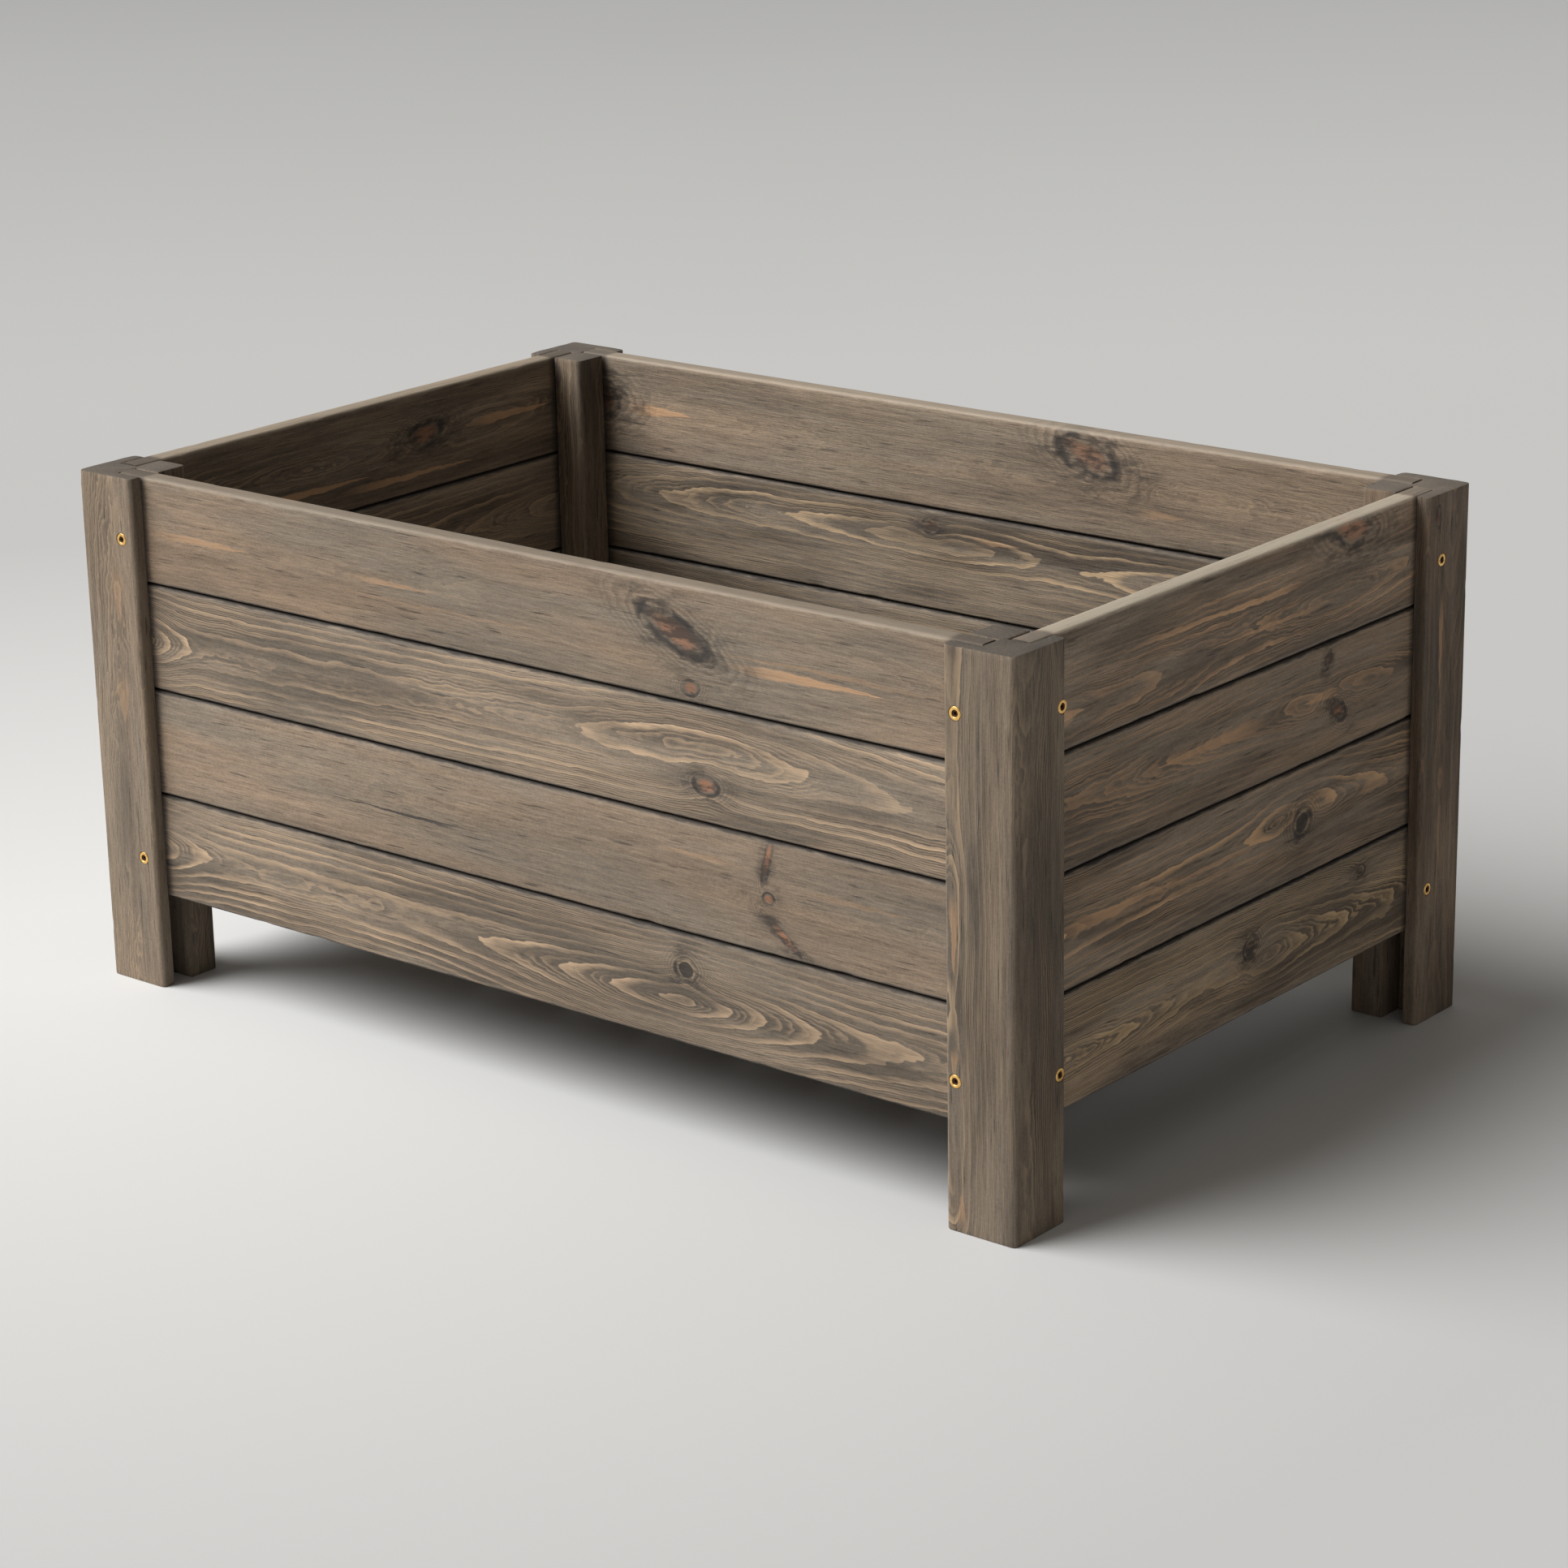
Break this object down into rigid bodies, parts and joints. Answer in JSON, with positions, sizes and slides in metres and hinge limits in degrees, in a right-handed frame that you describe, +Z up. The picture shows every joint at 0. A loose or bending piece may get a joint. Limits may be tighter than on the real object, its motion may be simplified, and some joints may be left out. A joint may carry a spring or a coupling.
{
  "type": "raised planter",
  "caption": "Rectangular raised wooden planter: grooved square corner posts run down as legs, stacked plank sides slot into them, screwed at the corners, with a slatted base inside.",
  "frame": {"origin": "on the ground at the middle of the planter's footprint", "axes": "+X along the long sides towards the right end, +Y from the front to the back, +Z up"},
  "size_m": [1.01, 0.646, 0.468],
  "materials": {
    "post_wood": "weathered brown-grey stained softwood, planed, open grain",
    "board_wood": "weathered brown-grey stained softwood plank, planed, open grain with knots",
    "base_wood": "sawn softwood batten, dry and unstained",
    "screw_metal": "yellow-plated countersunk screw, slightly dulled"
  },
  "bodies": {
    "root": {"post_front_left": "post_wood", "post_front_right": "post_wood", "post_back_right": "post_wood", "post_back_left": "post_wood", "front_board_1": "board_wood", "front_board_2": "board_wood", "front_board_3": "board_wood", "front_board_4": "board_wood", "right_board_1": "board_wood", "right_board_2": "board_wood", "right_board_3": "board_wood", "right_board_4": "board_wood", "back_board_1": "board_wood", "back_board_2": "board_wood", "back_board_3": "board_wood", "back_board_4": "board_wood", "left_board_1": "board_wood", "left_board_2": "board_wood", "left_board_3": "board_wood", "left_board_4": "board_wood", "bearer_front": "base_wood", "bearer_right": "base_wood", "bearer_back": "base_wood", "bearer_left": "base_wood", "base_slat_1": "base_wood", "base_slat_2": "base_wood", "base_slat_3": "base_wood", "base_slat_4": "base_wood", "base_slat_5": "base_wood", "base_slat_6": "base_wood", "base_slat_7": "base_wood", "base_slat_8": "base_wood", "base_slat_9": "base_wood", "screw_front_left_front_top": "screw_metal", "screw_front_left_front_bottom": "screw_metal", "screw_front_left_left_top": "screw_metal", "screw_front_left_left_bottom": "screw_metal", "screw_front_right_front_top": "screw_metal", "screw_front_right_front_bottom": "screw_metal", "screw_front_right_right_top": "screw_metal", "screw_front_right_right_bottom": "screw_metal", "screw_back_right_right_top": "screw_metal", "screw_back_right_right_bottom": "screw_metal", "screw_back_right_back_top": "screw_metal", "screw_back_right_back_bottom": "screw_metal", "screw_back_left_back_top": "screw_metal", "screw_back_left_back_bottom": "screw_metal", "screw_back_left_left_top": "screw_metal", "screw_back_left_left_bottom": "screw_metal", "bearer_screw_front_1": "screw_metal", "bearer_screw_front_2": "screw_metal", "bearer_screw_front_3": "screw_metal", "bearer_screw_right_1": "screw_metal", "bearer_screw_right_2": "screw_metal", "bearer_screw_back_1": "screw_metal", "bearer_screw_back_2": "screw_metal", "bearer_screw_back_3": "screw_metal", "bearer_screw_left_1": "screw_metal", "bearer_screw_left_2": "screw_metal"}
  },
  "joints": []
}
